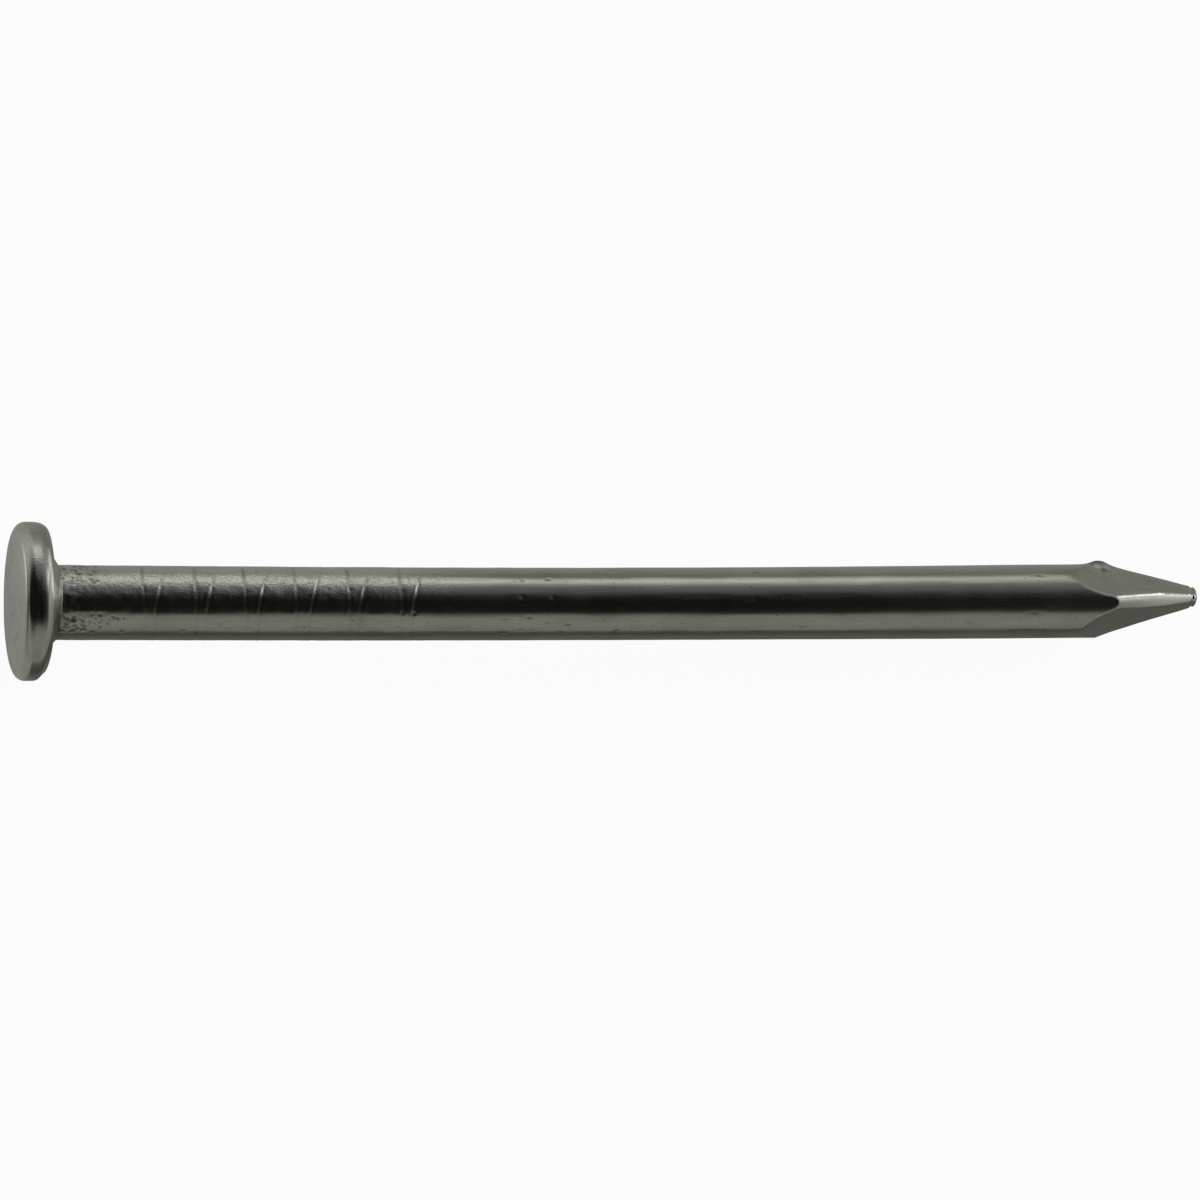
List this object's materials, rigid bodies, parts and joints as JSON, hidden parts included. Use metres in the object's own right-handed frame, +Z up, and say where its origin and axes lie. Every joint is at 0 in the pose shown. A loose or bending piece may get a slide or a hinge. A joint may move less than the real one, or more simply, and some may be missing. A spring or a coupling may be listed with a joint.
{
  "type": "nail",
  "caption": "Round wire nail in bright steel: flat round head on a short swelling neck, plain shank with grip marks below the head, cut diamond point.",
  "frame": {"origin": "centre of the head's underside, the plane that bears on the work and from which the nail's length is measured", "axes": "+X along the nail from the head towards the point; the sharp ridges of the point lie at +Y and -Y, with the small burr at +Y; the round ridges lie at +Z and -Z. The nail lies on its side, with +Z up"},
  "size_m": [0.0512, 0.0068, 0.0068],
  "materials": {
    "bright_steel": "bright drawn wire, uncoated, lightly scuffed"
  },
  "bodies": {
    "root": {"nail": "bright_steel"}
  },
  "joints": []
}
